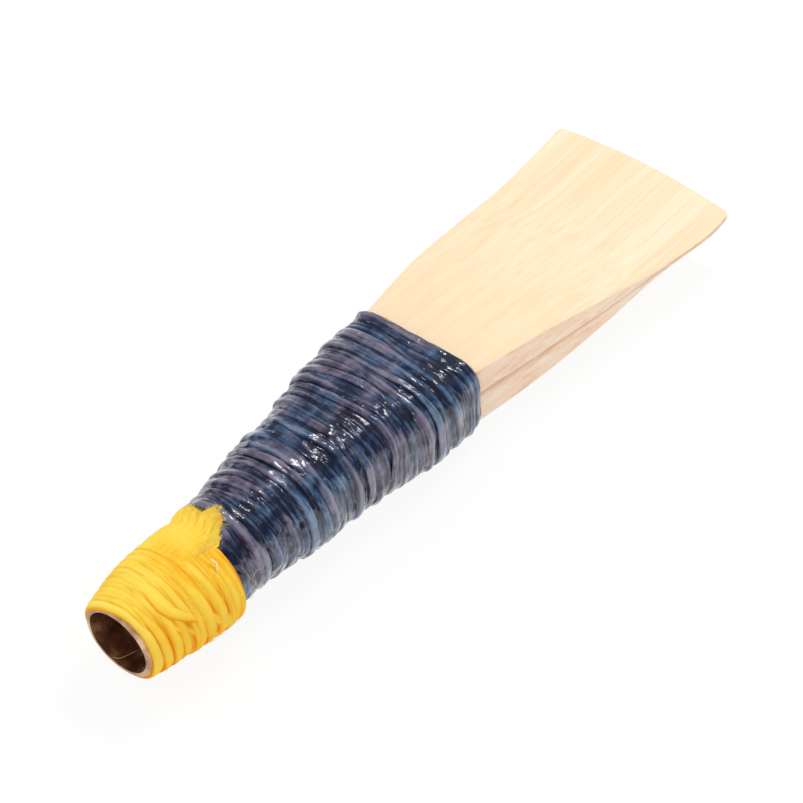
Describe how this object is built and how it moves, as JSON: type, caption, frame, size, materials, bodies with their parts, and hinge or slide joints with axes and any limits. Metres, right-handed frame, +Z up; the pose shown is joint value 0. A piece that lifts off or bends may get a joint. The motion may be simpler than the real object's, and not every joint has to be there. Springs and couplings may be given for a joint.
{
  "type": "bagpipe chanter reed",
  "caption": "Double reed of flared cane blades bound with waxed thread to a copper staple, with yellow hemp packing on the seat end.",
  "frame": {"origin": "on the surface that the reed lies on, under the middle of its box", "axes": "+X along the reed from the open end of the staple to the lips, +Y across the blades, +Z up through the blades' thickness"},
  "size_m": [0.045, 0.0124, 0.0065],
  "materials": {
    "copper": "worn bare copper, a little dull, darker inside the bore",
    "cane": "dry pale cane with fine grain along the reed, matt",
    "binding": "blue and slate waxed thread, varnished, glossy",
    "hemp": "yellow waxed hemp, fibrous, matt"
  },
  "bodies": {
    "root": {"staple": "copper", "upper_blade": "cane", "lower_blade": "cane", "binding_core": "binding", "binding_thread": "binding", "hemp_core": "hemp", "hemp_thread": "hemp", "hemp_tail": "hemp"}
  },
  "joints": []
}
